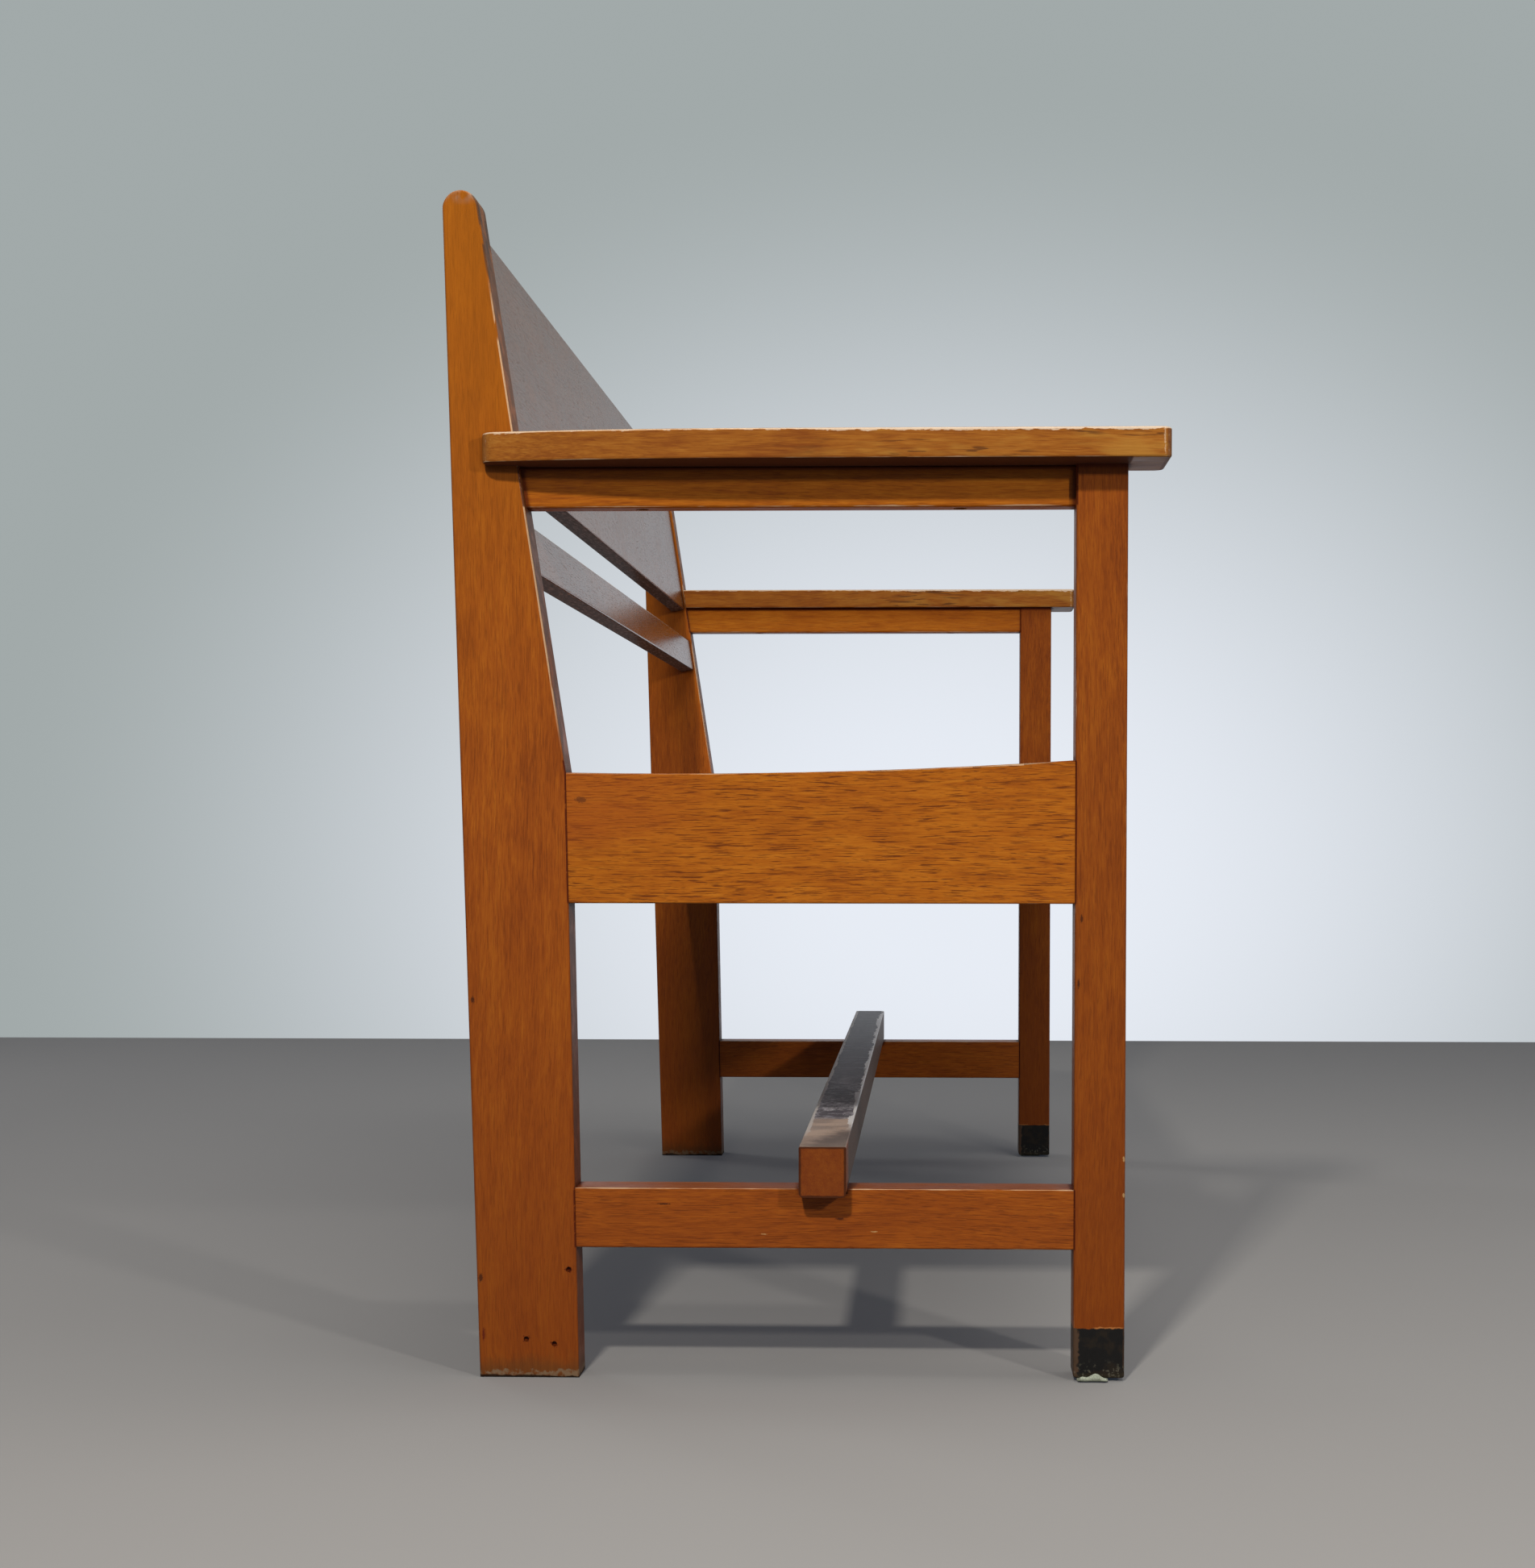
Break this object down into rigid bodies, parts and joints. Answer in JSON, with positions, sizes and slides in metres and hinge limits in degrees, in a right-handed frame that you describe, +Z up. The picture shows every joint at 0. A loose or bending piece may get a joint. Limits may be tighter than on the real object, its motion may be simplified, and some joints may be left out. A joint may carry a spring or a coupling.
{
  "type": "monks bench",
  "caption": "Long wooden bench with flat armrests, an open back of a board and a slat on leaning posts, a boarded seat and a foot rest rail.",
  "frame": {"origin": "on the floor under the middle of the bench's overall box", "axes": "+X along the bench, +Y towards its back, -Y towards its front, +Z up; left pieces are at -X"},
  "size_m": [1.516, 0.5336, 0.88],
  "materials": {
    "frame_wood": "stained and lacquered, semi gloss, worn on the edges",
    "back_wood": "stained and lacquered, semi gloss",
    "seat_wood": "stained and lacquered, worn by sitting",
    "inner_wood": "sawn and stained, matt",
    "felt": "pressed felt, matt",
    "screw_steel": "dull, slotted pan heads"
  },
  "bodies": {
    "root": {"rear_post_left": "frame_wood", "rear_post_right": "frame_wood", "front_leg_left": "frame_wood", "front_leg_right": "frame_wood", "armrest_left": "frame_wood", "armrest_right": "frame_wood", "arm_rail_left": "frame_wood", "arm_rail_right": "frame_wood", "seat_side_rail_left": "frame_wood", "seat_side_rail_right": "frame_wood", "side_stretcher_left": "frame_wood", "side_stretcher_right": "frame_wood", "seat_cleat_left": "inner_wood", "seat_cleat_right": "inner_wood", "felt_pad_left": "felt", "felt_pad_right": "felt", "centre_stretcher": "frame_wood", "back_board": "back_wood", "back_slat": "back_wood", "front_seat_rail": "frame_wood", "rear_seat_rail": "frame_wood", "seat_board_1": "seat_wood", "seat_board_2": "seat_wood", "seat_board_3": "seat_wood", "seat_board_4": "seat_wood", "seat_board_5": "seat_wood", "centre_seat_bearer": "inner_wood", "seat_board_screws": "screw_steel", "seat_cleat_screws": "screw_steel", "armrest_screws": "screw_steel", "stretcher_screws": "screw_steel"}
  },
  "joints": []
}
